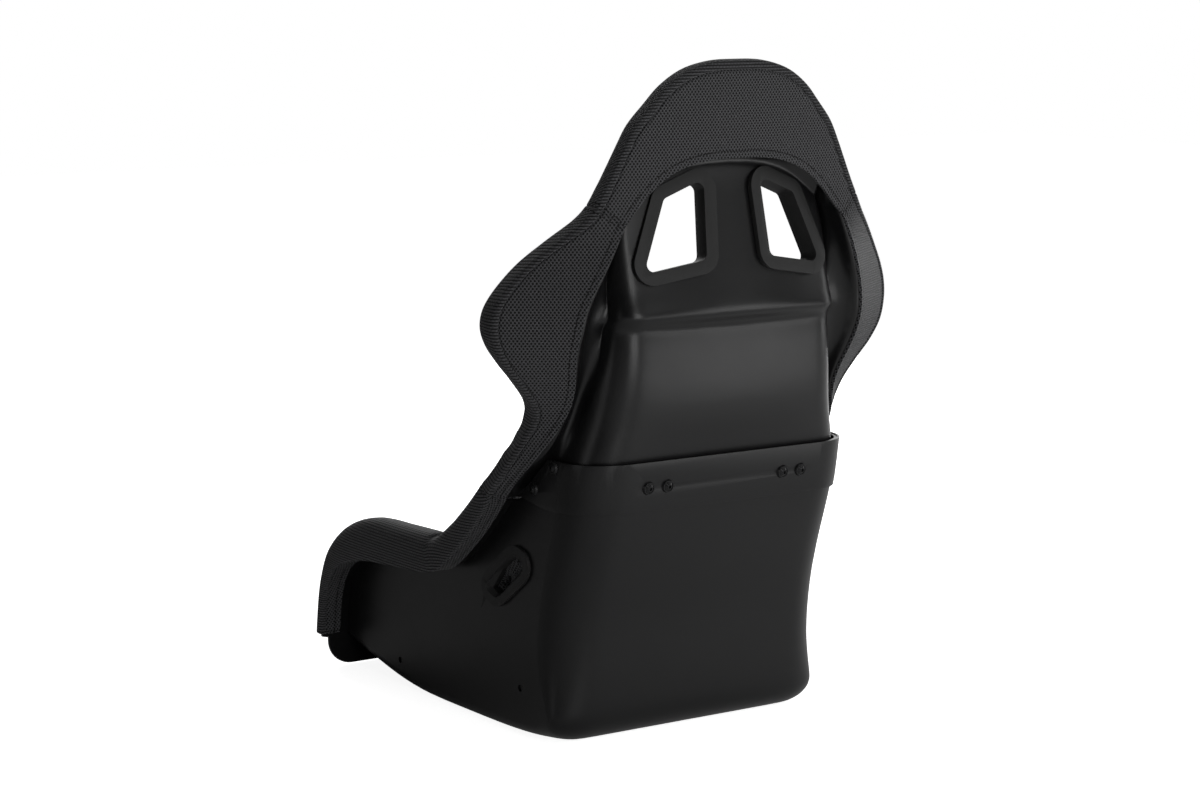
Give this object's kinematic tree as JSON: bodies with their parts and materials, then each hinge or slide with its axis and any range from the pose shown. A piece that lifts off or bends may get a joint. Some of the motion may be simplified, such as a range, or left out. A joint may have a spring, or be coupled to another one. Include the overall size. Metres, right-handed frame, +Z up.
{
  "type": "fixed back racing seat",
  "caption": "Fixed-back bucket seat: moulded lower tub and winged back shell joined by a screwed band, padded mesh rim covers, belt openings with bezels, loose cushions and side mounts.",
  "frame": {"origin": "on the floor plane under the middle of the overall box", "axes": "+X towards the sitter's left, +Y towards the back of the seat, +Z up"},
  "size_m": [0.5908, 0.6178, 0.823],
  "materials": {
    "shell": "satin moulded laminate",
    "band": "satin moulded",
    "bezel": "fine satin",
    "mesh": "perforated spacer mesh",
    "cushion": "soft woven",
    "screw": "black coated",
    "insert": "zinc plated"
  },
  "bodies": {
    "root": {"lower_shell": "shell", "upper_shell": "shell", "joint_band": "band", "band_screws": "screw", "band_washers": "screw", "band_nuts": "insert", "shoulder_bezel_left": "bezel", "shoulder_bezel_right": "bezel", "lap_bezel_left": "bezel", "lap_bezel_right": "bezel", "mount_inserts": "insert", "thigh_cover_left": "mesh", "thigh_cover_right": "mesh", "wing_cover_left": "mesh", "wing_cover_right": "mesh", "head_cover": "mesh", "side_pad_left": "cushion", "side_pad_right": "cushion", "seat_cushion": "cushion", "back_cushion": "cushion", "head_cushion": "cushion"}
  },
  "joints": []
}
